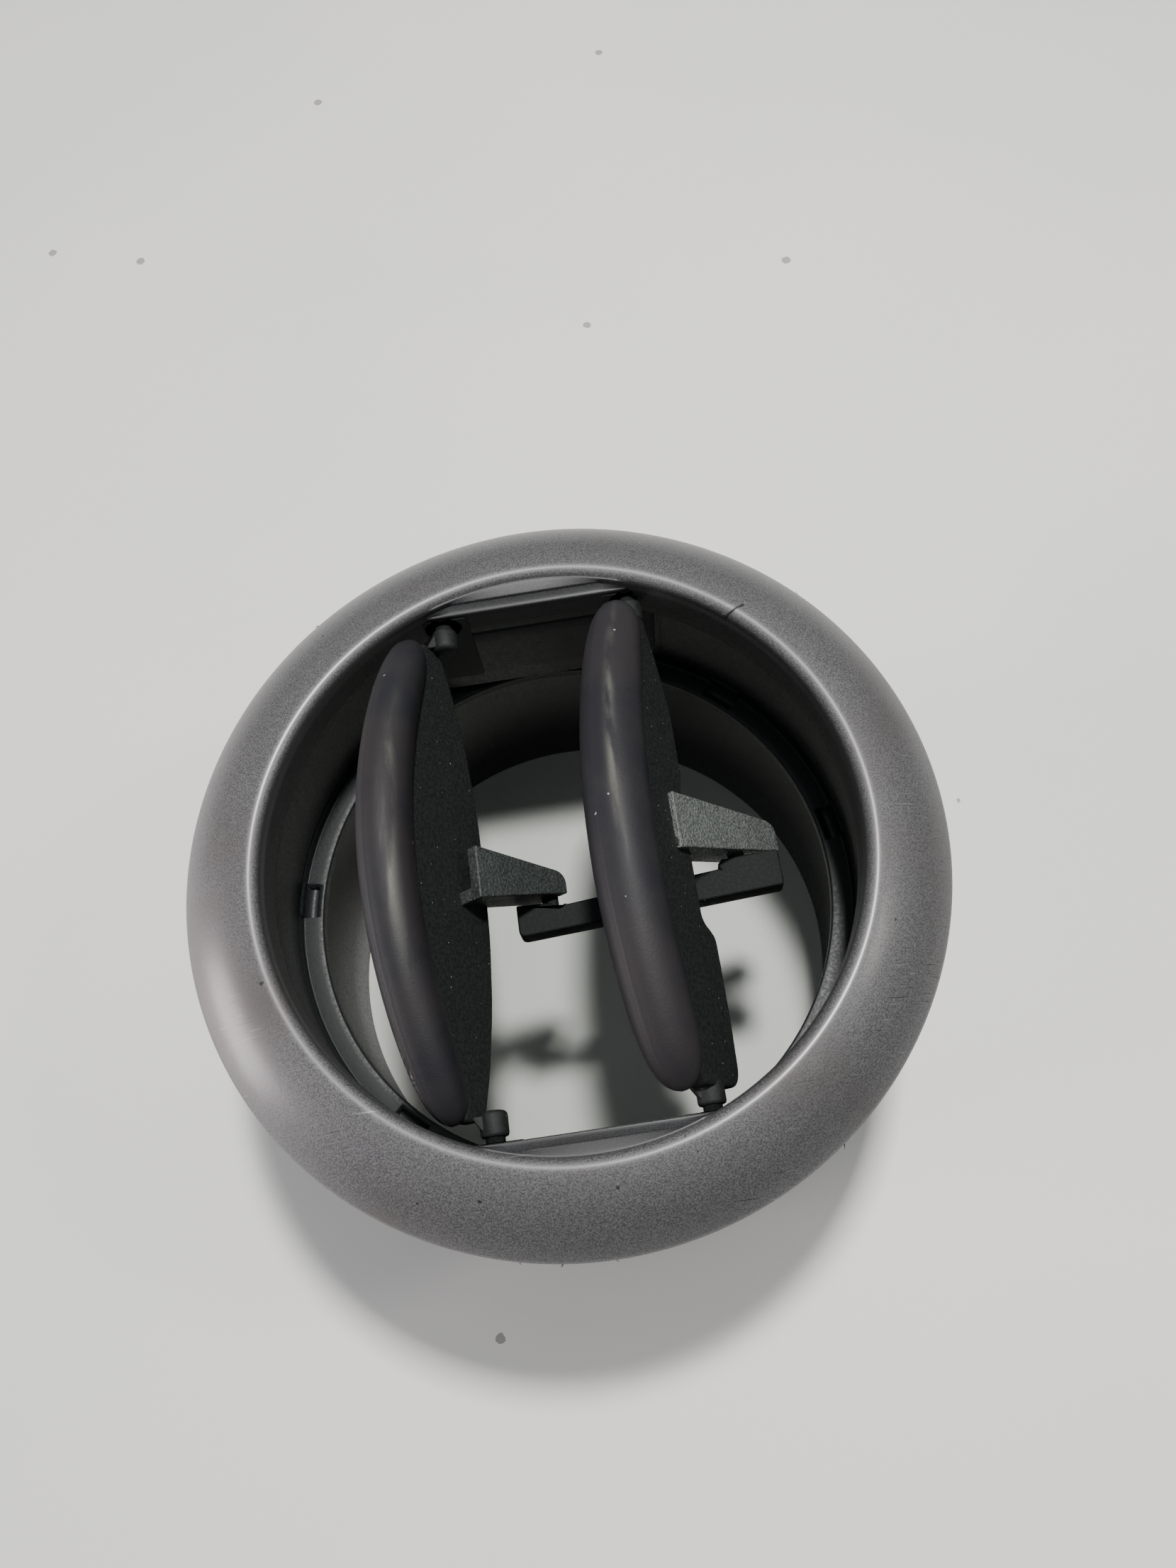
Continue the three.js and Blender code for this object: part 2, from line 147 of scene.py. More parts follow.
def mix_colour(tree, mask, first, second):
    """first where mask is 0, second where it is 1."""
    made = add_node(tree, "ShaderNodeMix", data_type="RGBA")
    for socket, value in ((made.inputs[0], mask), (made.inputs[6], first), (made.inputs[7], second)):
        if isinstance(value, bpy.types.NodeSocket):
            tree.links.new(value, socket)
        else:
            socket.default_value = value
    return made.outputs[2]


def new_group(name, inputs, outputs):
    """An empty node group with float inputs after its Vector, and float outputs."""
    group = bpy.data.node_groups.new(name, "ShaderNodeTree")
    group.interface.new_socket("Vector", in_out="INPUT", socket_type="NodeSocketVector")
    for key in inputs:
        group.interface.new_socket(key, in_out="INPUT", socket_type="NodeSocketFloat")
    for key in outputs:
        group.interface.new_socket(key, in_out="OUTPUT", socket_type="NodeSocketFloat")
    return group, add_node(group, "NodeGroupInput").outputs, add_node(group, "NodeGroupOutput").inputs


def place_group(tree, group, inputs):
    """One use of a node group, with its own values."""
    return add_node(tree, "ShaderNodeGroup", inputs, node_tree=group).outputs


def speck_group():
    """Scattered specks: cells of a Voronoi pattern, each with a dot where its random tone is low enough.
    Mask = (distance < Size) x (tone < Amount)."""
    group, given, result = new_group("scattered_specks", ["Scale", "Size", "Amount"], ["Mask"])
    warp = add_node(group, "ShaderNodeTexNoise", {"Vector": given["Vector"], "Scale": 1400.0})
    shifted = add_node(
        group,
        "ShaderNodeMix",
        {0: 0.0006, 4: given["Vector"], 5: warp.outputs["Color"]},
        data_type="VECTOR",
    )
    lattice = {"Vector": shifted.outputs[1], "Scale": given["Scale"]}
    cells = add_node(group, "ShaderNodeTexVoronoi", lattice).outputs
    dot = calculate(group, "LESS_THAN", cells["Distance"], given["Size"])
    tone = add_node(group, "ShaderNodeSeparateColor", {0: cells["Color"]})
    chance = calculate(group, "LESS_THAN", tone.outputs[0], given["Amount"])
    group.links.new(calculate(group, "MULTIPLY", dot, chance), result["Mask"])
    return group


SPECKS = speck_group()


def laminate():
    """Table top: cloudy pale grey, with painted shade in a round patch under the vent, dark specks and an
    uneven gloss.
    """
    material, tree, shader, place = new_material("pale_laminate")
    cloud = noise(tree, place, 7.0, 4.0)
    tone = ramp(tree, cloud, 0.3, 0.7)
    cloudy = mix_colour(tree, tone, (0.740, 0.752, 0.728, 1), (0.800, 0.782, 0.766, 1))
    # Painted shade: the colour turns darker in a round patch under and around the vent.
    from_middle = add_node(tree, "ShaderNodeVectorMath", {0: place}, operation="LENGTH")
    under = ramp(tree, from_middle.outputs["Value"], SHADE_PATCH_OUT, SHADE_PATCH_IN)
    shaded_under_vent = mix_colour(tree, under, cloudy, (0.455, 0.480, 0.440, 1))
    dirt = place_group(tree, SPECKS, {"Vector": place, "Scale": 42.0, "Size": 0.042, "Amount": 0.9})
    colour = mix_colour(tree, dirt["Mask"], shaded_under_vent, (0.34, 0.33, 0.31, 1))
    tree.links.new(colour, shader.inputs["Base Color"])
    tree.links.new(spread(tree, cloud, 0.42, 0.55), shader.inputs["Roughness"])
    return material


floor_mesh = bpy.data.meshes.new("table_top")
floor_signs = ((-1, -1), (1, -1), (1, 1), (-1, 1))
floor_corners = [(x * FLOOR_HALF, y * FLOOR_HALF, -FLOOR_DROP) for x, y in floor_signs]
floor_mesh.from_pydata(floor_corners, [], [(0, 1, 2, 3)])
table_top = bpy.data.objects.new("table_top", floor_mesh)
scene.collection.objects.link(table_top)
table_top.data.materials.append(laminate())

# ---- Bezel ring ----
# The flared rim that shows on the dashboard: moulded plastic sprayed satin silver. Its face is an arc
# from a tight crest, and two crescent lips close the collar over the flat walls. Dark burrs stand out
# of the worn rim, and a loose fibre lies across the crest.
MM = 0.001
BEZEL_R = 50.0
COLLAR_R = 38.4
CREST_Z = 63.3
CREST_ROUND = 1.6
FACE_START = math.radians(14)
FACE_END = math.radians(52.4)
SEAT_Z = 55.4
COLLAR_FOOT = 55.3
COLLAR_WALL = 1.6
FLAT_Y = 35.6
STEP_Y = 36.9
LIP_Z = 61.5
STEP_Z = 61.95
SHELF_Z = 62.5
LIP_FADE = 0.7
FACE_THICK = 2.1
EDGE_ROUND = 0.4


def surface(points, capped=False):
    """A closed surface from a grid of corners, points[i, j] in millimetres. It closes round i, and round j
    unless capped, when the first and last j are closed by a flat face each. Its faces point outwards:
    where the volume summed over its faces is negative, they are turned round."""
    count_i, count_j = points.shape[:2]
    index = np.arange(count_i * count_j).reshape(count_i, count_j)
    beside = np.roll(index, -1, axis=0)
    if capped:
        quads = [index[:, :-1], beside[:, :-1], beside[:, 1:], index[:, 1:]]
    else:
        quads = [index, beside, np.roll(beside, -1, axis=1), np.roll(index, -1, axis=1)]
    quads = np.stack(quads, axis=-1).reshape(-1, 4)
    corners = points.reshape(-1, 3)
    middle = corners.mean(axis=0)
    a, b, c, d = (corners[quads[:, k]] - middle for k in range(4))
    volume = np.einsum("ij,ij->", a, np.cross(b, c)) + np.einsum("ij,ij->", a, np.cross(c, d))
    ends = [index[::-1, 0], index[:, -1]] if capped else []
    for end in ends:
        fan = corners[end] - middle
        volume += np.einsum("j,ij->", fan[0], np.cross(fan[1:-1], fan[2:]))
    faces = quads.tolist() + [end.tolist() for end in ends]
    if volume < 0:
        faces = [face[::-1] for face in faces]
    return corners, faces


def build(name, parts, materials, body, nodes):
    """One piece from parts, each a (corners, faces, material number), given to its body. Its grids are
    smooth and its end caps flat."""
    corners = []
    faces = []
    numbers = []
    for part_corners, part_faces, number in parts:
        base = sum(len(c) for c in corners)
        corners.append(part_corners)
        faces += [[base + k for k in face] for face in part_faces]
        numbers += [number] * len(part_faces)
    mesh = bpy.data.meshes.new(name)
    mesh.from_pydata((np.concatenate(corners) * MM).tolist(), [], faces)
    mesh.polygons.foreach_set("use_smooth", np.array([len(face) < 5 for face in faces]))
    mesh.polygons.foreach_set("material_index", np.array(numbers, np.int32))
    for material in materials:
        mesh.materials.append(material)
    mesh.update()
    made = bpy.data.objects.new(name, mesh)
    scene.collection.objects.link(made)
    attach(made, body)
    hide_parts(*nodes)
    return made


def turned(rows, turn):
    """Carries rows of (radius, height) round +Z: row j at turn i lies at (r cos i, r sin i, z)."""
    radius = np.stack([np.broadcast_to(r, turn.shape) for r, z in rows], axis=1)
    height = np.stack([np.broadcast_to(z, turn.shape) for r, z in rows], axis=1)
    return np.stack([radius * np.cos(turn)[:, None], radius * np.sin(turn)[:, None], height], axis=-1)


def arc(centre, radius, start, end, count):
    """count points on an arc, as (radius, height), with angles from +radius towards +height."""
    return [
        (centre[0] + radius * math.cos(t), centre[1] + radius * math.sin(t))
        for t in np.linspace(start, end, count)
    ]


def bezel_rows(turn):
    """The rim's section from its seat, over the face and crest, down the collar and back underneath.
    Over a flat wall the collar's radius becomes FLAT_Y / |sin turn|, and the lip's rows rise to it."""
    crest = (COLLAR_R + CREST_ROUND, CREST_Z - CREST_ROUND)
    start = (
        crest[0] + CREST_ROUND * math.sin(FACE_START),
        crest[1] + CREST_ROUND * math.cos(FACE_START),
    )
    sweep = (BEZEL_R - start[0]) / (math.sin(FACE_END) - math.sin(FACE_START))
    centre = (start[0] - sweep * math.sin(FACE_START), start[1] - sweep * math.cos(FACE_START))
    face = arc(centre, sweep, math.pi / 2 - FACE_END, math.pi / 2 - FACE_START, 26)
    edge = arc((BEZEL_R - EDGE_ROUND, SEAT_Z + EDGE_ROUND), EDGE_ROUND, -math.pi / 2, 0, 4)
    rows = [(BEZEL_R - 1.8, SEAT_Z)] + edge + [(BEZEL_R, face[0][1] - 0.3)] + face
    over = arc(crest, CREST_ROUND, math.pi / 2 - FACE_START, math.pi, 14)[1:]

    sine = np.maximum(np.abs(np.sin(turn)), 1e-6)
    flat_r = np.minimum(COLLAR_R, FLAT_Y / sine)
    step_r = np.minimum(COLLAR_R, STEP_Y / sine)
    fade = np.clip((COLLAR_R - flat_r) / LIP_FADE, 0, 1)
    fade = fade * fade * (3 - 2 * fade)
    for r, z in over:
        rows.append((r, np.where(z < SHELF_Z, z + (SHELF_Z - z) * fade, z)))
    steps = [
        (step_r + 0.20 * fade, STEP_Z, 61.6),
        (step_r + 0.05 * fade, STEP_Z - 0.02, 61.55),
        (step_r, STEP_Z - 0.14, 61.5),
        (step_r - 0.02 * fade, LIP_Z + 0.10, 61.45),
        (step_r - 0.10 * fade, LIP_Z, 61.4),
        ((step_r + flat_r) / 2, LIP_Z - 0.32, 61.3),
        (flat_r + 0.34 * fade, LIP_Z - 0.52, 61.2),
        (flat_r + 0.22 * fade, LIP_Z - 0.50, 61.15),
        (flat_r + 0.06 * fade, LIP_Z - 0.55, 61.1),
        (flat_r, LIP_Z - 0.75, 60.7),
    ]
    rows += [(r, wall + (lip - wall) * fade) for r, lip, wall in steps]
    rows += [(flat_r, z) for z in (59.8, 58.5, 57, COLLAR_FOOT + 0.15)]
    outer = COLLAR_R + COLLAR_WALL
    rows += [(flat_r + 0.15, COLLAR_FOOT), (outer - 0.1, COLLAR_FOOT), (outer, COLLAR_FOOT + 0.2)]
    rows += [(outer, 60.2), (outer + 0.6, 60.8)]
    under = sweep - FACE_THICK
    rows += arc(centre, under, math.pi / 2 - FACE_START - 0.06, math.pi / 2 - FACE_END + 0.1, 8)
    return rows


def scratch_group():
    """Hairline scratches: noise stretched along one direction, kept only where it peaks, in patches."""
    group, given, result = new_group("hairline_scratches", ["Angle", "Amount"], ["Mask"])
    turn = add_node(group, "ShaderNodeCombineXYZ", {"Z": given["Angle"]})
    lay = add_node(
        group,
        "ShaderNodeMapping",
        {"Vector": given["Vector"], "Rotation": turn.outputs[0], "Scale": (120.0, 5200.0, 300.0)},
    )
    peaks = ramp(group, noise(group, lay.outputs[0], 1.0, 1.0), 0.70, 0.76)
    where = ramp(group, noise(group, given["Vector"], 95.0, 2.0), 0.52, 0.66)
    both = calculate(group, "MULTIPLY", peaks, where)
    group.links.new(calculate(group, "MULTIPLY", both, given["Amount"]), result["Mask"])
    return group


def grain_group():
    """Fine surface grain: Height is two sizes of noise added, and Tone follows the finer one."""
    group, given, result = new_group("surface_grain", ["Fine", "Coarse"], ["Height", "Tone"])
    fine = noise(group, given["Vector"], given["Fine"], 2.0)
    coarse = noise(group, given["Vector"], given["Coarse"], 3.0)
    group.links.new(calculate(group, "ADD", fine, coarse), result["Height"])
    group.links.new(ramp(group, fine, 0.32, 0.68), result["Tone"])
    return group


SCRATCHES = scratch_group()
GRAIN = grain_group()


def bump(tree, shader, height, depth, strength=1.0):
    """Feeds a height, in depths of this many metres, to the shader's normal."""
    made = add_node(tree, "ShaderNodeBump", {"Height": height, "Distance": depth, "Strength": strength})
    tree.links.new(made.outputs["Normal"], shader.inputs["Normal"])


def dark_collar_mask(tree, place):
    """How dark and unmetallic the collar's inner side is made: 0.78 over the lips, which is painted shade,
    and 1 on the wall below them, and 0 at the crest and outside its radius."""
    axes = add_node(tree, "ShaderNodeSeparateXYZ", {0: place})
    flat = add_node(tree, "ShaderNodeCombineXYZ", {0: axes.outputs[0], 1: axes.outputs[1]})
    radius = add_node(tree, "ShaderNodeVectorMath", {0: flat.outputs[0]}, operation="LENGTH")
    inside = ramp(tree, radius.outputs["Value"], 0.0394, 0.0386)
    lips = ramp(tree, axes.outputs[2], 0.0631, 0.0623)
    wall = ramp(tree, axes.outputs[2], 0.0609, 0.0602)
    below = calculate(tree, "MULTIPLY_ADD", wall, 0.22, calculate(tree, "MULTIPLY", lips, 0.78))
    return calculate(tree, "MULTIPLY", inside, below)


def silver_paint():
    """Satin metallic paint: mottled flake, soft cloudy tone, hairline scratches and rubbed dirt."""
    material, tree, shader, place = new_material("satin_silver_paint")
    grain = place_group(tree, GRAIN, {"Vector": place, "Fine": 5000.0, "Coarse": 1600.0})
    cloud = noise(tree, place, 38.0, 4.0)
    flake = mix_colour(tree, grain["Tone"], (0.076, 0.075, 0.078, 1), (0.158, 0.155, 0.160, 1))
    soiled = mix_colour(tree, ramp(tree, cloud, 0.45, 0.75), flake, (0.096, 0.086, 0.083, 1))
    marks = place_group(tree, SCRATCHES, {"Vector": place, "Angle": 0.5, "Amount": 0.6})
    scratched = mix_colour(tree, marks["Mask"], soiled, (0.34, 0.335, 0.33, 1))
    scores = place_group(tree, SCRATCHES, {"Vector": place, "Angle": 2.0, "Amount": 0.9})
    scored = mix_colour(tree, scores["Mask"], scratched, (0.02, 0.02, 0.02, 1))
    chips = place_group(tree, SPECKS, {"Vector": place, "Scale": 210.0, "Size": 0.055, "Amount": 0.5})
    chipped = mix_colour(tree, chips["Mask"], scored, (0.035, 0.034, 0.034, 1))
    # Painted shade over the lips: the collar's inner side is darker and less metallic there, and darker
    # still on the wall below.
    collar_dark = dark_collar_mask(tree, place)
    colour = mix_colour(tree, collar_dark, chipped, (0.0065, 0.0080, 0.0095, 1))
    tree.links.new(colour, shader.inputs["Base Color"])
    tree.links.new(spread(tree, collar_dark, 0.65, 0.0), shader.inputs["Metallic"])
    tree.links.new(spread(tree, grain["Tone"], 0.52, 0.66), shader.inputs["Roughness"])
    tree.links.new(spread(tree, collar_dark, 0.55, 0.0), shader.inputs["Coat Weight"])
    shader.inputs["Coat Roughness"].default_value = 0.27
    shader.inputs["Specular IOR Level"].default_value = 0.4
    bump(tree, shader, grain["Height"], 0.00003, 0.55)
    return material


def thread(out, aside, up, turn):
    """A tube at one turn of the rim, from its distances out from the axis, aside of that line and up."""
    x = out * math.cos(turn) - aside * math.sin(turn)
    y = out * math.sin(turn) + aside * math.cos(turn)
    return surface(np.stack([x, y, up + 0 * x], axis=-1), True)


def burr(turn, length, thick, lean):
    """A ragged thread of plastic that stands out of the rim: a tapering tube along a bowed line."""
    along = np.linspace(0, 1, 14)[None, :]
    around = np.linspace(0, 2 * np.pi, 8, endpoint=False)[:, None]
    radius = thick * (1 - along) ** 0.6 * (1 + 0.3 * np.sin(19 * along + turn)) + 0.01
    out = BEZEL_R - 0.35 + length * along
    aside = lean * length * along**2 + radius * np.cos(around)
    up = SEAT_Z + (0.7 + 0.3 * length * np.sin(4 * along) + radius * np.sin(around))
    return thread(out, aside, up, turn)


def fibre():
    """A dark fibre that lies across the crest: a thin tube along a nearly straight line."""
    along = np.linspace(0, 1, 12)[None, :]
    around = np.linspace(0, 2 * np.pi, 8, endpoint=False)[:, None]
    out = COLLAR_R - 0.3 + 3.0 * along
    aside = -(1.6 * along + 0.10 * np.sin(5 * along) + 0.13 * np.cos(around))
    up = CREST_Z + 0.02 - 0.12 * (along - 0.5) ** 2 + 0.09 * np.sin(around)
    return thread(out, aside, up, FIBRE_TURN)


def torn_paint():
    """Bare dark plastic where the rim is torn."""
    material, tree, shader, place = new_material("torn_rim_plastic")
    grain = place_group(tree, GRAIN, {"Vector": place, "Fine": 5000.0, "Coarse": 1200.0})
    tone = mix_colour(tree, grain["Tone"], (0.014, 0.013, 0.012, 1), (0.050, 0.047, 0.044, 1))
    tree.links.new(tone, shader.inputs["Base Color"])
    shader.inputs["Roughness"].default_value = 0.7
    bump(tree, shader, grain["Height"], 0.00003)
    return material


FIBRE_TURN = math.radians(47)
# Each burr: its turn in degrees, its length and thickness, and how far it leans aside.
BURRS = [(127, 1.3, 0.16, 0.5), (106, 0.9, 0.10, -0.6), (41, 1.2, 0.13, 0.8), (24, 0.6, 0.10, 0.2)]
BURRS += [(-55, 0.8, 0.13, -0.5), (-90, 0.6, 0.12, 0.6), (-97, 0.7, 0.14, -0.4), (-103, 0.6, 0.10, 0.5)]
bezel_turn = np.linspace(0, 2 * np.pi, 720, endpoint=False)
bezel_parts = [(*surface(turned(bezel_rows(bezel_turn), bezel_turn)), 0)]
for degrees, length, thick, lean in BURRS:
    bezel_parts.append((*burr(math.radians(degrees), length, thick, lean), 1))
bezel_parts.append((*fibre(), 1))
bezel_stuff = [silver_paint(), torn_paint()]
build("painted_bezel", bezel_parts, bezel_stuff, "housing", ["bezel_ring"])

# ---- Vane housing ----
# Black plastic tube behind the bezel, with two flat walls for the pivots and a ledge at its foot.
# Snap windows sit just above the ledge, and each has a moulding slot through the ledge below it.
HOUSING_R = 40.1
HOUSING_BACK = 41.5
HOUSING_TOP = 55.0
FLAT_FOOT = 39.5
LEDGE_R = 37.0
LEDGE_Z = 37.4
LEDGE_FOOT = 35.6
LATCH_TURNS = np.radians([8, 47, 172, 227])
LATCH_HALF = 2.6
LATCH_DEEP = 0.9
LATCH_EDGE = 0.0012
SLOT_R = 38.0
SLOT_DEEP = 1.7


def latch_turns(count):
    """Turns spaced evenly, with a pair of close ones at each side of each snap window."""
    even = np.linspace(0, 2 * np.pi, count, endpoint=False)
    half = LATCH_HALF / HOUSING_R
    sides = [LATCH_TURNS + s * half + e for s in (-1, 1) for e in (-LATCH_EDGE, LATCH_EDGE)]
    return np.sort(np.concatenate([even] + sides) % (2 * np.pi))


def in_latch(turn):
    """True at the turns inside a snap window."""
    away = np.abs((turn[:, None] - LATCH_TURNS[None, :] + np.pi) % (2 * np.pi) - np.pi)
    return (away < LATCH_HALF / HOUSING_R).any(axis=1)


def housing_rows(turn):
    """The housing's section: down its inner wall, over the ledge and back up outside. The wall's radius is
    the lesser of HOUSING_R and FLAT_Y / |sin turn|; inside a window the wall and the ledge are sunk."""
    sine = np.maximum(np.abs(np.sin(turn)), 1e-6)
    wall = np.minimum(HOUSING_R, FLAT_Y / sine)
    sunk = in_latch(turn)
    rows = [(wall + 0.3, HOUSING_TOP), (wall + 0.08, HOUSING_TOP - 0.08), (wall, HOUSING_TOP - 0.3)]
    rows += [(wall, z) for z in (52, 48, 44, FLAT_FOOT + 0.3)]
    rows += [(wall + 0.1, FLAT_FOOT), (np.maximum(wall, HOUSING_R - 0.001), FLAT_FOOT - 0.05)]
    rows += [(HOUSING_R, 39.25)]
    rows += [(HOUSING_R + LATCH_DEEP * sunk, 39.2), (HOUSING_R + LATCH_DEEP * sunk, 38.95)]
    rows += [(HOUSING_R - 0.2 * sunk, 38.9), (HOUSING_R - 0.2 * sunk, 37.9)]
    rows += [(HOUSING_R - 0.12, LEDGE_Z + 0.12), (HOUSING_R - 0.25, LEDGE_Z - 0.01)]
    rows += [(HOUSING_R - 0.3, LEDGE_Z - SLOT_DEEP * sunk), (SLOT_R + 0.03, LEDGE_Z - SLOT_DEEP * sunk)]
    rows += [(SLOT_R, LEDGE_Z), (LEDGE_R + 0.3, LEDGE_Z)]
    rows += [(LEDGE_R + 0.08, LEDGE_Z - 0.08), (LEDGE_R, LEDGE_Z - 0.3), (LEDGE_R, LEDGE_FOOT)]
    rows += [(HOUSING_BACK, LEDGE_FOOT), (HOUSING_BACK, 45), (HOUSING_BACK, HOUSING_TOP)]
    return rows


def black_plastic(name, colour, rough, grain_size, depth, dust=0.0, shine=0.35):
    """Black moulded plastic: grain of this depth, from colour to a paler tone, with a roughness from rough
    to a little above it, and pale specks on a share dust of its cells."""
    material, tree, shader, place = new_material(name)
    grain = place_group(tree, GRAIN, {"Vector": place, "Fine": grain_size, "Coarse": grain_size / 6})
    pale = tuple(channel * 1.9 for channel in colour)
    tone = mix_colour(tree, grain["Tone"], (*colour, 1), (*pale, 1))
    specks = place_group(tree, SPECKS, {"Vector": place, "Scale": 1050.0, "Size": 0.065, "Amount": dust})
    dusty = mix_colour(tree, specks["Mask"], tone, (0.34, 0.34, 0.32, 1))
    tree.links.new(dusty, shader.inputs["Base Color"])
    tree.links.new(spread(tree, grain["Tone"], rough, rough + 0.12), shader.inputs["Roughness"])
    shader.inputs["Specular IOR Level"].default_value = shine
    bump(tree, shader, grain["Height"], depth)
    return material


WALL_BLACK = (0.0060, 0.0078, 0.0084)
WALL_PLASTIC = black_plastic("smooth_black_plastic", WALL_BLACK, 0.44, 2600.0, 0.000010, 0.03)
housing_turn = latch_turns(600)
housing_parts = [(*surface(turned(housing_rows(housing_turn), housing_turn)), 0)]
build("black_housing", housing_parts, [WALL_PLASTIC], "housing", ["vane_housing"])

# ---- Rear sleeve ----
# The tapering black duct adapter that snaps over the housing. It stands on its rear rim, and its inside
# is smoother than the rest, so it mirrors the table at a low angle.
SLEEVE_TOP = 53.4
SLEEVE_NECK = 35.3
SLEEVE_IN = 41.8
SLEEVE_FOOT_IN = 39.4
SLEEVE_WALL = 1.8
SLEEVE_ROUND = 0.5


def sleeve_rows():
    """The sleeve's section: rear rim, outer cone, outer cylinder, rounded top, and back down inside."""
    foot_out = SLEEVE_FOOT_IN + SLEEVE_WALL
    top_out = SLEEVE_IN + SLEEVE_WALL
    rows = [(SLEEVE_FOOT_IN + 0.3, 0), (foot_out - 0.3, 0), (foot_out - 0.08, 0.08), (foot_out, 0.3)]
    cone = (0.25, 0.5, 0.75, 0.985)
    rows += [(foot_out + (top_out - foot_out) * k, SLEEVE_NECK * k) for k in cone]
    rows += [(top_out, SLEEVE_NECK + 0.6), (top_out, 44)]
    shoulder = SLEEVE_TOP - SLEEVE_ROUND
    rows += arc((top_out - SLEEVE_ROUND, shoulder), SLEEVE_ROUND, 0, math.pi / 2, 5)
    rows += arc((SLEEVE_IN + SLEEVE_ROUND, shoulder), SLEEVE_ROUND, math.pi / 2, math.pi, 5)
    rows += [(SLEEVE_IN, 44), (SLEEVE_IN, SLEEVE_NECK + 0.4)]
    taper = SLEEVE_IN - SLEEVE_FOOT_IN
    rows += [(SLEEVE_FOOT_IN + taper * k, SLEEVE_NECK * k) for k in cone[::-1]]
    rows += [(SLEEVE_FOOT_IN + 0.02, 0.3), (SLEEVE_FOOT_IN + 0.08, 0.08)]
    return rows


SLEEVE_BLACK = (0.0062, 0.0072, 0.0070)
SLEEVE_PLASTIC = black_plastic("glossy_black_plastic", SLEEVE_BLACK, 0.30, 2600.0, 0.000004, 0.01)
sleeve_turn = np.linspace(0, 2 * np.pi, 480, endpoint=False)
sleeve_parts = [(*surface(turned(sleeve_rows(), sleeve_turn)), 0)]
build("duct_sleeve", sleeve_parts, [SLEEVE_PLASTIC], "housing", ["rear_sleeve"])

# ---- Pivot bearings ----
# Four black blocks set into the flat walls. Each is open at its front end, so that a vane's hub drops
# into its bush from the cabin side.
HUB_X = {"left": -12.2, "right": 14.0}
HUB_Z = 58.2
BEARING_HALF = 3.6
BEARING_TOP = 60.2
BEARING_FOOT = 43.0
BEARING_FACE = 35.42
BEARING_BACK = 37.4
SEAT_R = 2.4
SIDES = {"top": 1, "bottom": -1}


def rounded_outline(corners, radius, count=6):
    """A closed outline with each corner P rounded from A to B, the points up to radius from it on its two
    sides, by (1-t)^2 A + 2t(1-t) P + t^2 B. A corner is (a, b) or (a, b, its own radius)."""
    points = np.array([c[:2] for c in corners], float)
    reach = np.array([c[2] if len(c) > 2 else radius for c in corners])
    before = np.roll(points, 1, axis=0) - points
    after = np.roll(points, -1, axis=0) - points
    t = np.linspace(0, 1, count)[None, :, None]
    legs = []
    for side in (before, after):
        length = np.linalg.norm(side, axis=1)
        legs.append(points + side / length[:, None] * np.minimum(reach, 0.48 * length)[:, None])
    start, end, mid = legs[0][:, None], legs[1][:, None], points[:, None]
    return ((1 - t) ** 2 * start + 2 * t * (1 - t) * mid + t**2 * end).reshape(-1, 2)


def slab(outline, low, high, edge, count=4):
    """A plate from a closed outline, between two heights, with rounded edges: near each face the outline
    is moved inwards by edge (1 - sin) where it is set back from the face by edge (1 - cos). Returns
    [i, j, (a, b, height)]."""
    ahead = np.roll(outline, -1, axis=0) - np.roll(outline, 1, axis=0)
    ahead /= np.maximum(np.linalg.norm(ahead, axis=1), 1e-9)[:, None]
    across = np.stack([ahead[:, 1], -ahead[:, 0]], axis=1)
    a, b = outline[:, 0], outline[:, 1]
    area = np.sum(a * np.roll(b, -1) - b * np.roll(a, -1))
    across *= np.sign(area)
    turn = np.linspace(0, np.pi / 2, count)
    inset = np.concatenate([edge * (1 - np.sin(turn)), edge * (1 - np.cos(turn))])
    height = np.concatenate([low + edge * (1 - np.cos(turn)), high - edge * (1 - np.sin(turn))])
    flat = outline[:, None, :] - across[:, None, :] * inset[None, :, None]
    return np.concatenate([flat, np.broadcast_to(height[None, :, None], flat.shape[:2] + (1,))], axis=2)


def bearing_outline(x):
    """A block outline in X and Z, with a round seat that opens through its front end."""
    rise = BEARING_TOP - HUB_Z
    mouth = math.asin(rise / SEAT_R)
    seat = arc((x, HUB_Z), SEAT_R, mouth, -math.pi - mouth, 24)
    corners = [(x - BEARING_HALF, BEARING_TOP, 0.5), (x - BEARING_HALF, BEARING_FOOT, 0.5)]
    corners += [(x + BEARING_HALF, BEARING_FOOT, 0.5), (x + BEARING_HALF, BEARING_TOP, 0.5)]
    return rounded_outline([*corners, *seat], 0.12, 5)


BEARING_BLACK = (0.0062, 0.0078, 0.0082)
BEARING_PLASTIC = black_plastic("dull_black_plastic", BEARING_BLACK, 0.58, 2600.0, 0.000010, 0.02)
for vane_side, hub_x in HUB_X.items():
    for end, sign in SIDES.items():
        block = slab(bearing_outline(hub_x), BEARING_FACE, BEARING_BACK, 0.18)
        block = np.stack([block[..., 0], block[..., 2] * sign, block[..., 1]], axis=-1)
        name = f"bearing_block_{vane_side}_{end}"
        node = f"pivot_bearing_{vane_side}_{end}"
        block_parts = [(*surface(block, True), 0)]
        build(name, block_parts, [BEARING_PLASTIC], "housing", [node])

# ---- Pivot bushes ----
# A small rubber sleeve in each bearing, gripping the vane's pin so that the vane stays where it is put.
BUSH_R = 2.1
BUSH_BORE = 1.45
BUSH_IN = 35.5
BUSH_OUT = 37.25
BUSH_EDGE = 0.2


def about_y(rows, x, z, sign, count):
    """Carries rows of (radius, |Y|) round the line along Y through (x, z)."""
    turn = np.linspace(0, 2 * np.pi, count, endpoint=False)[:, None]
    radius = np.array([r for r, y in rows])[None, :]
    y = np.array([y for r, y in rows])[None, :] * sign + 0 * turn
    return np.stack([x + radius * np.cos(turn), y, z + radius * np.sin(turn)], axis=-1)


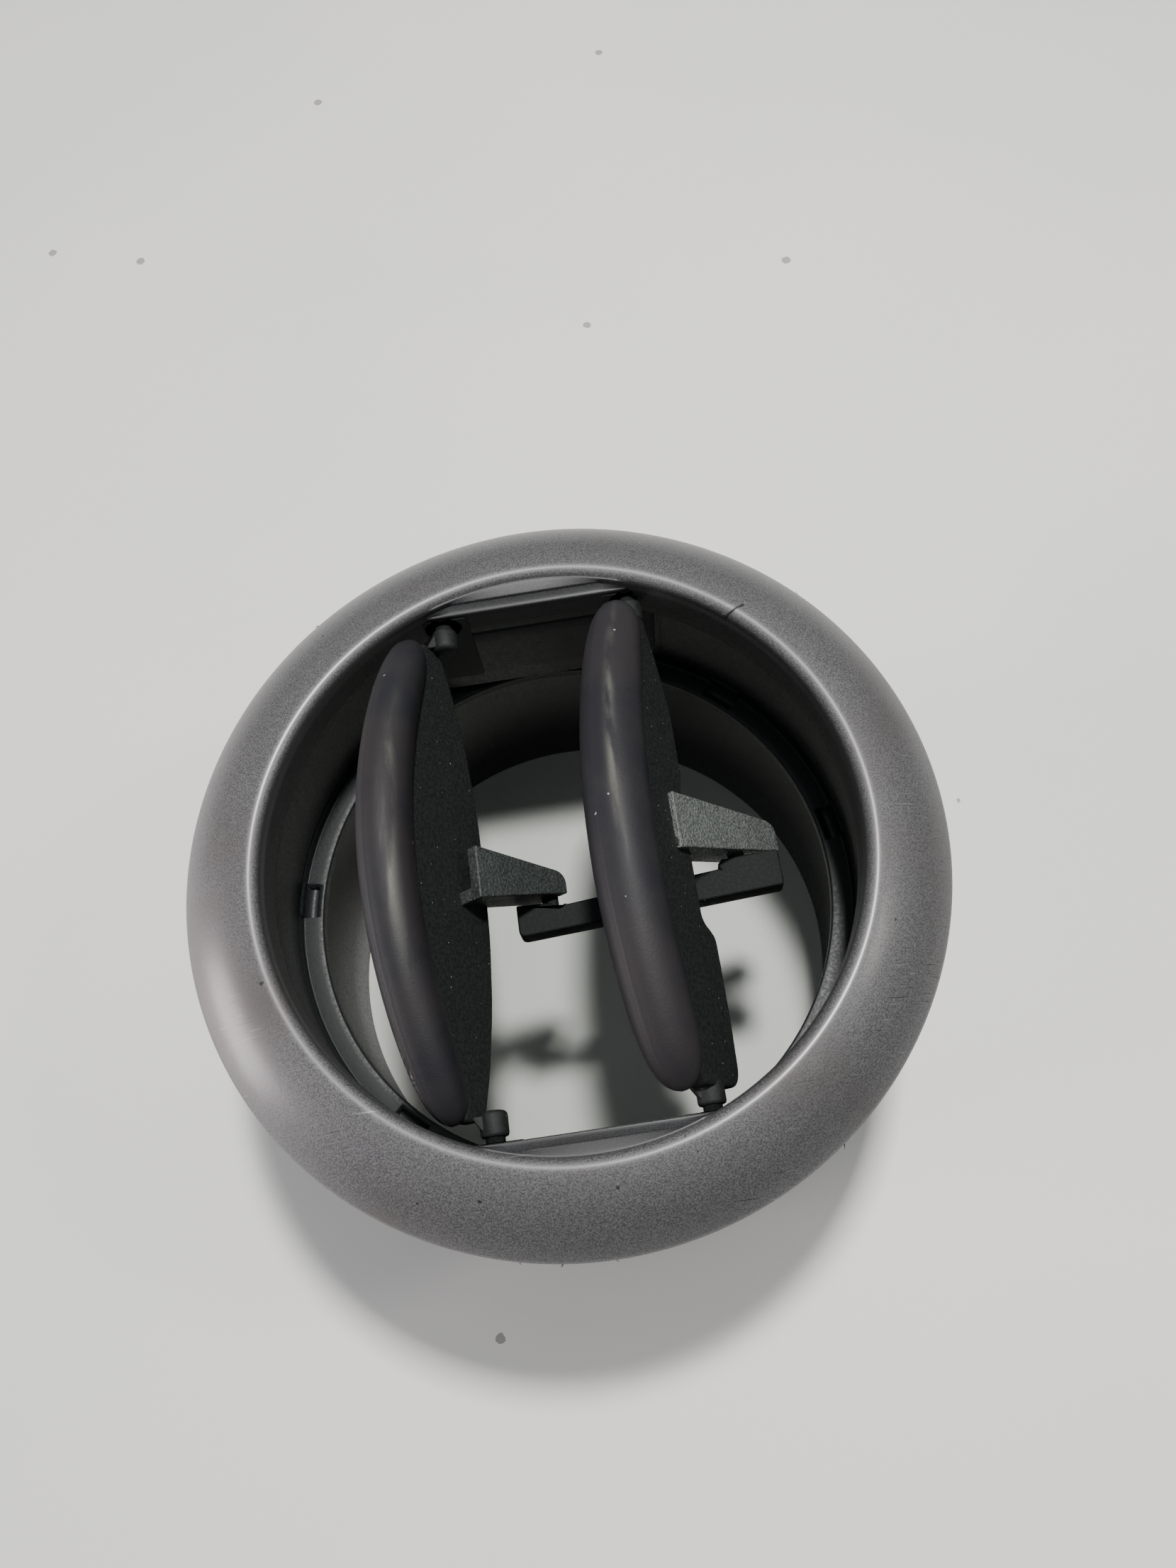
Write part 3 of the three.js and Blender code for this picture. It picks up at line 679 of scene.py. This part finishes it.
def bush_rubber():
    """Dull black rubber with a fine moulded bloom."""
    material, tree, shader, place = new_material("dull_black_rubber")
    grain = place_group(tree, GRAIN, {"Vector": place, "Fine": 5000.0, "Coarse": 1200.0})
    tone = mix_colour(tree, grain["Tone"], (0.012, 0.012, 0.012, 1), (0.026, 0.026, 0.025, 1))
    tree.links.new(tone, shader.inputs["Base Color"])
    shader.inputs["Roughness"].default_value = 0.75
    bump(tree, shader, grain["Height"], 0.00002)
    return material


RUBBER = bush_rubber()
bush_rows = []
for face, inward in ((BUSH_IN, BUSH_EDGE), (BUSH_OUT, -BUSH_EDGE)):
    rim = [(BUSH_BORE, face + inward), (BUSH_BORE + BUSH_EDGE, face)]
    rim += [(BUSH_R - BUSH_EDGE, face), (BUSH_R, face + inward)]
    bush_rows += rim if inward > 0 else rim[::-1]
for vane_side, hub_x in HUB_X.items():
    for end, sign in SIDES.items():
        ring = surface(about_y(bush_rows, hub_x, HUB_Z, sign, 48))
        name = f"rubber_bush_{vane_side}_{end}"
        node = f"pivot_bush_{vane_side}_{end}"
        build(name, [(*ring, 0)], [RUBBER], "housing", [node])

# ---- Vane cores ----
# Each vane's hard black core: a bowed blade, a hub and pin at each end, and a lever on its back with
# a web and the link's pin. A pale thread of flash follows the left lever's root.
TILT = math.radians(28)
BLADE_TIP = 32.6
BLADE_HALF = 1.1
NOSE_MID = 12.6
NOSE_END = 5.0
NOSE_TIP = 29.6
PIN_DX = 9.3
PIN_DZ = -11.2
WEB_THICK = 1.8
FLASH_ENDS = (-5.3, 1.9)
# The back edges as (y, behind the pivot): the left one is an even bow, the right one has a deep lower end.
TAIL_END = [(18, -4.6), (26, -2.8), (BLADE_TIP, -0.6)]
LEFT_TAIL = [(-y, behind) for y, behind in TAIL_END[::-1]] + [(-9, -5.7), (0, -6), (9, -5.7)] + TAIL_END
RIGHT_TAIL = [(-BLADE_TIP, -4.6), (-31, -6), (-24, -6.4), (-13.4, -6.4), (-12.4, -5.2), (-11.4, -3.3)]
RIGHT_TAIL += [(6, -3.2), (8.5, -4.4)] + TAIL_END
# offset is how far the blade lies across from the hub axis. root and tip are the lever's Y range at its two
# ends, reach is its length past the link's pin, and foot is the pin's lower end. The nose bows from its
# middle by a drop at NOSE_TIP; it is 2 half wide, lies aside of the blade and ends at two values of Y.
VANES = {
    "left": {
        "offset": -2.6,
        "tail": LEFT_TAIL,
        "tail_round": 2.2,
        "root": (-5.2, 1.9),
        "tip": (-2.5, -0.2),
        "tip_round": 1.0,
        "reach": 1.2,
        "foot": -7.6,
        "bow": (0, NOSE_MID - NOSE_END),
        "half": 3.55,
        "aside": -0.4,
        "ends": (-32.7, 32.7),
    },
    "right": {
        "offset": 0.4,
        "tail": RIGHT_TAIL,
        "tail_round": 1.3,
        "root": (-2.6, 5.2),
        "tip": (0.4, 4.0),
        "tip_round": 1.3,
        "reach": 7.4,
        "foot": -5.6,
        "bow": (-4, 6.0),
        "half": 4.2,
        "aside": -0.2,
        "ends": (-33.2, 32.7),
    },
}


def nose_line(y, side):
    """How far the nose runs ahead of the pivot: NOSE_MID - drop ((y - middle) / NOSE_TIP)^2."""
    middle, drop = VANES[side]["bow"]
    return NOSE_MID - drop * ((y - middle) / NOSE_TIP) ** 2


def tilted(across, y, ahead, side):
    """From a vane's upright frame to its place: turned by TILT towards -X about the hub axis."""
    u = across + VANES[side]["offset"]
    x = HUB_X[side] + u * math.cos(TILT) - ahead * math.sin(TILT)
    return np.stack([x, y, HUB_Z + u * math.sin(TILT) + ahead * math.cos(TILT)], axis=-1)


def blade(side):
    """The blade: an outline of (y, ahead) whose front lies under the soft cover, as a rounded slab."""
    front_y = np.linspace(BLADE_TIP, -BLADE_TIP, 15)[1:-1]
    front = [(y, min(nose_line(y, side), 11.0) - 0.6, 0.3) for y in front_y]
    tail = [(y, behind, VANES[side]["tail_round"]) for y, behind in VANES[side]["tail"]]
    outline = rounded_outline([(BLADE_TIP, 3.2, 0.8), *front, (-BLADE_TIP, 3.2, 0.8), *tail], 1.0, 6)
    plate = slab(outline, -BLADE_HALF, BLADE_HALF, 0.45)
    return surface(tilted(plate[..., 2], plate[..., 0], plate[..., 1], side), True)


def hub(side, sign):
    """A hub with a rounded shoulder and its pin, turned about the pivot axis."""
    rows = [(0.02, 31.5), (1.1, 31.5), (1.45, 31.6), (1.68, 31.85), (1.75, 32.2), (1.75, 34.2)]
    rows += [(1.65, 34.5), (1.4, 34.6), (1.2, 34.62), (1.2, 36.6), (1.0, 36.85), (0.02, 36.9)]
    return surface(about_y(rows, HUB_X[side], HUB_Z, sign, 48), True)


def shelf(side, sign):
    """The small flat end of the core that shows between the cover's tip and the hub."""
    x = HUB_X[side]
    corners = [(x - 2.6, 32.0), (x + 0.2, 32.0), (x + 0.2, 33.9), (x - 1.3, 34.0)]
    outline = rounded_outline([(a, b * sign) for a, b in corners], 0.5, 5)
    return surface(slab(outline, HUB_Z - 0.4, HUB_Z + 1.3, 0.2), True)


def lever(side):
    """The lever's face and web as rounded slabs, laid along the line from the hub to the link's pin."""
    vane = VANES[side]
    slope = math.atan2(-PIN_DZ, PIN_DX)
    length = math.hypot(PIN_DX, PIN_DZ) + vane["reach"]
    root_low, root_high = vane["root"]
    tip_low, tip_high = vane["tip"]
    start = -0.5
    face = [(start, root_low, 0.2), (length, tip_low, 0.2), (length, tip_high - 0.2, 0.8)]
    face += [(length - vane["tip_round"], tip_high + 0.75, 0.8), (start, root_high, 0.2)]
    web = [(start, root_low), (length - 0.1, tip_low)]
    web += [(length - 0.1, tip_low + WEB_THICK), (start, root_low + WEB_THICK)]
    parts = []
    for corners, low, high in ((face, 0.6, 2.4), (web, -3.3, 2.3)):
        plate = slab(rounded_outline(corners, 0.25, 5), low, high, 0.22)
        along, y, up = plate[..., 0], plate[..., 1], plate[..., 2]
        x = HUB_X[side] + along * math.cos(slope) + up * math.sin(slope)
        z = HUB_Z - along * math.sin(slope) + up * math.cos(slope)
        parts.append(surface(np.stack([x, y, z], axis=-1), True))
    return parts


def link_pin(side):
    """The pin under the lever's web that the link bar snaps on to."""
    top = VANES[side]["tip"][0] + WEB_THICK / 2
    foot = VANES[side]["foot"]
    rows = [(0.02, top), (1.15, top), (1.15, foot + 0.3), (0.9, foot), (0.02, foot)]
    return surface(about_y(rows, HUB_X[side] + PIN_DX, HUB_Z + PIN_DZ, 1, 32), True)


def flash_thread():
    """A ragged thread of moulding flash: a thin tube up the left lever's root, with a wavy radius."""
    low, high = FLASH_ENDS
    y = np.linspace(low, high, 90)[None, :]
    turn = np.linspace(0, 2 * np.pi, 10, endpoint=False)[:, None]
    ragged = 0.6 + 0.25 * np.sin(9 * y) + 0.2 * np.sin(23 * y + 1) + 0.15 * np.sin(41 * y + 2)
    taper = np.clip((high - y) * 2, 0.05, 1) * np.clip((y - low) * 2, 0.05, 1)
    radius = 0.17 * ragged * taper
    x = HUB_X["left"] + 1.55 + 0.10 * np.sin(5 * y) + radius * np.cos(turn) - 0.04 * y
    z = HUB_Z + 0.62 + 0.06 * np.sin(7 * y) + radius * np.sin(turn)
    return surface(np.stack([x, y + 0 * turn, z], axis=-1), True)


BLADE_BLACK = (0.0052, 0.0064, 0.0062)
# Both levers are one grained plastic: their greys, paler than the blade, are painted sheen, much stronger
# on the right.
LEFT_LEVER_SHEEN = (0.020, 0.0240, 0.0232)
RIGHT_LEVER_SHEEN = (0.062, 0.0690, 0.0655)
BLADE_PLASTIC = black_plastic("dusty_black_plastic", BLADE_BLACK, 0.62, 2400.0, 0.00002, 0.40)
LEVER_PLASTIC = {
    "left": black_plastic("grained_plastic_faint_painted_sheen", LEFT_LEVER_SHEEN, 0.52, 2800.0, 0.00022, 0.20, 0.5),
    "right": black_plastic("grained_plastic_strong_painted_sheen", RIGHT_LEVER_SHEEN, 0.44, 2800.0, 0.00032, 0.30, 0.7),
}
FLASH_PLASTIC = black_plastic("pale_flash", (0.20, 0.185, 0.15), 0.6, 3000.0, 0.00005, 0.2)
for side in VANES:
    parts = [(*blade(side), 0)]
    parts += [(*hub(side, sign), 0) for sign in (1, -1)]
    parts += [(*shelf(side, sign), 0) for sign in (1, -1)]
    parts += [(*part, 1) for part in lever(side)]
    parts.append((*link_pin(side), 0))
    if side == "left":
        parts.append((*flash_thread(), 2))
    stuff = [BLADE_PLASTIC, LEVER_PLASTIC[side], FLASH_PLASTIC]
    build(f"vane_blade_{side}", parts, stuff, f"vane_{side}", [f"vane_core_{side}"])

# ---- Vane covers ----
# The soft-touch noses that a finger pushes: charcoal, bowed, fat in the middle, with a faint mould line
# along the front, a hand-worn patch that is less rough and carries a painted highlight, and chips at the
# left one's lower end.
CHIP_DEPTH = 0.045


def spot(value, middle, width):
    """1 at middle, falling off as exp(-((value - middle) / width)^2)."""
    return np.exp(-(((value - middle) / width) ** 2))


def cover(side):
    """A bar carried along the nose line. At a share k of its half length its width is
    half (1 - 0.13 k^2) sqrt(1 - k^12), and its section is round in front and drawn out towards the blade.
    Returns it with two values for each corner: how far it is rubbed, which also sets its painted
    highlight, and how far it is scuffed."""
    vane = VANES[side]
    low, high = vane["ends"]
    k = np.sin(np.linspace(-1, 1, 260) * np.pi / 2)
    y = (low + high) / 2 + (high - low) / 2 * k
    size = vane["half"] * (1 - 0.13 * k**2) * np.sqrt(np.maximum(1 - k**12, 1e-5))
    slope = -2 * vane["bow"][1] * (y - vane["bow"][0]) / NOSE_TIP**2
    length = np.hypot(1, slope)
    turn = np.linspace(0, 2 * np.pi, 96, endpoint=False)[:, None]
    front = np.sin(turn)
    across = np.cos(turn) * (1 - 0.20 * np.clip(-front, 0, 1) ** 1.5)
    ahead = np.where(front > 0, front, 1.16 * front)
    ridge = 0.10 * spot(turn, 1.75, 0.07)
    chips = np.random.default_rng(7).normal(size=(turn.size, y.size))
    chips = (chips + np.roll(chips, 1, axis=0) + np.roll(chips, 1, axis=1) + np.roll(chips, 2, axis=1)) / 2
    if side == "left":
        worn = spot(y, -26.0, 3.0) * spot(turn, 2.25, 0.24)
        worn += 0.8 * spot(y, 17.0, 5.0) * spot(turn, 2.45, 0.08)
        rub_and_sheen = spot(y, 2.0, 12.0) * spot(turn, 0.80, 0.25)
    else:
        worn = spot(y, 8.0, 2.0) * spot(turn, 2.9, 0.15)
        rub_and_sheen = spot(y, 8.0, 15.0) * spot(turn, 1.10, 0.13)
    swell = 1 - CHIP_DEPTH * np.abs(chips) * worn
    sideways = size * across * swell + ridge * np.cos(turn)
    normal = size * ahead * swell + ridge * front
    along = y - normal * slope / length
    points = tilted(sideways + vane["aside"], along, nose_line(y, side) + normal / length, side)
    scuff = np.clip(worn * (np.abs(chips) > 0.8), 0, 1)
    return surface(points, True), rub_and_sheen.reshape(-1), scuff.reshape(-1)


def soft_touch():
    """Charcoal soft-touch skin: fine grain, a brownish painted highlight and less roughness where it is
    rubbed, pale scuffs and specks.
    """
    material, tree, shader, place = new_material("worn_soft_touch")
    grain = place_group(tree, GRAIN, {"Vector": place, "Fine": 3600.0, "Coarse": 500.0})
    cloud = noise(tree, place, 90.0, 5.0)
    rub_and_sheen = add_node(tree, "ShaderNodeAttribute", attribute_name="rub_and_sheen").outputs["Fac"]
    scuff = add_node(tree, "ShaderNodeAttribute", attribute_name="scuff").outputs["Fac"]
    tone = ramp(tree, cloud, 0.38, 0.62)
    tinted = mix_colour(tree, tone, (0.0085, 0.0087, 0.0118, 1), (0.0150, 0.0132, 0.0146, 1))
    # Painted highlight: pale brownish streaks over the rubbed patch, which is also less rough there.
    streak = add_node(tree, "ShaderNodeMapping", {"Vector": place, "Scale": (420.0, 60.0, 420.0)})
    streaks = ramp(tree, noise(tree, streak.outputs[0], 1.0, 5.0), 0.40, 0.62)
    rub_highlight = calculate(tree, "MULTIPLY", rub_and_sheen, streaks)
    painted_highlight = mix_colour(tree, rub_highlight, tinted, (0.088, 0.087, 0.076, 1))
    specks = place_group(tree, SPECKS, {"Vector": place, "Scale": 520.0, "Size": 0.07, "Amount": 0.10})
    marked = mix_colour(tree, specks["Mask"], painted_highlight, (0.30, 0.29, 0.27, 1))
    chipped = mix_colour(tree, scuff, marked, (0.17, 0.16, 0.15, 1))
    tree.links.new(chipped, shader.inputs["Base Color"])
    tree.links.new(spread(tree, rub_highlight, 0.60, 0.46), shader.inputs["Roughness"])
    shader.inputs["Specular IOR Level"].default_value = 0.3
    bump(tree, shader, grain["Height"], 0.000025)
    return material


SOFT_TOUCH = soft_touch()
for side in VANES:
    skin, rub_and_sheen, scuff = cover(side)
    node = f"vane_cover_{side}"
    nose = build(f"soft_nose_{side}", [(*skin, 0)], [SOFT_TOUCH], f"vane_{side}", [node])
    for key, values in (("rub_and_sheen", rub_and_sheen), ("scuff", scuff)):
        corner_values = nose.data.attributes.new(key, "FLOAT", "POINT")
        corner_values.data.foreach_set("value", values.astype(np.float32))

# ---- Link bar ----
# One moulded bar that snaps on to both levers' pins, so that the vanes turn together. It rises a little
# from left to right, and has an eye block with a round snap notch at each end.
LINK_Z = HUB_Z + PIN_DZ
LINK_DEEP = 3.6
LINK_WIDE = 3.5
LINK_FOOT = {"left": -8.0, "right": -6.0}
EYE_DROP = {"left": 1.05, "right": 1.75}
EYE_LEFT = 4.6
EYE_RIGHT = 5.6


def notch(centre, wide, deep, turns):
    """Corners of a round notch, at (x - wide cos t, y - deep sin t) for each t in turns."""
    return [(centre[0] - wide * math.cos(t), centre[1] - deep * math.sin(t), 0.1) for t in turns]


def link_outline():
    """The bar seen along Z: an eye block at each end, with a small round snap notch in its upper edge."""
    left = HUB_X["left"] + PIN_DX
    right = HUB_X["right"] + PIN_DX
    rise = (LINK_FOOT["right"] - LINK_FOOT["left"]) / (right - left)

    def foot(x):
        return LINK_FOOT["left"] + rise * (x - left)

    left_top = VANES["left"]["tip"][0] - EYE_DROP["left"]
    right_top = VANES["right"]["tip"][0] - EYE_DROP["right"]
    start = left - EYE_LEFT
    end = right + EYE_RIGHT
    left_x = left + 1.2
    right_x = right - 2.0
    left_notch = notch((left_x, left_top - 0.15), 0.9, 0.9, np.linspace(2.6, 0.15, 8))
    right_notch = notch((right_x, right_top - 0.9), 0.8, 0.7, np.linspace(-1.0, 1.5, 6))
    return [
        (start, foot(start) + 0.3, 1.0),
        (end, foot(end) - 0.6, 0.6),
        (end, right_top + 0.3, 0.5),
        (right_notch[-1][0] + 1.0, right_top, 0.4),
        (right_x - 0.2, right_top, 0.2),
        *[corner for corner in right_notch if corner[1] < right_top - 0.05],
        (right_x - 0.8, foot(right_x - 0.2) + LINK_WIDE, 0.2),
        (left + 2.4, foot(left + 2.4) + LINK_WIDE, 0.2),
        *[corner for corner in left_notch if corner[1] > foot(left) + 0.4],
        (start, left_top, 0.3),
    ]


link_edge = rounded_outline(link_outline(), 0.3, 5)
link_shape = slab(link_edge, LINK_Z - LINK_DEEP / 2, LINK_Z + LINK_DEEP / 2, 0.28)
LINK_BLACK = (0.0042, 0.0054, 0.0052)
LINK_PLASTIC = black_plastic("link_black_plastic", LINK_BLACK, 0.66, 2600.0, 0.00003, 0.25, 0.2)
link_parts = [(*surface(link_shape, True), 0)]
build("link_lever", link_parts, [LINK_PLASTIC], "link", ["link_bar"])
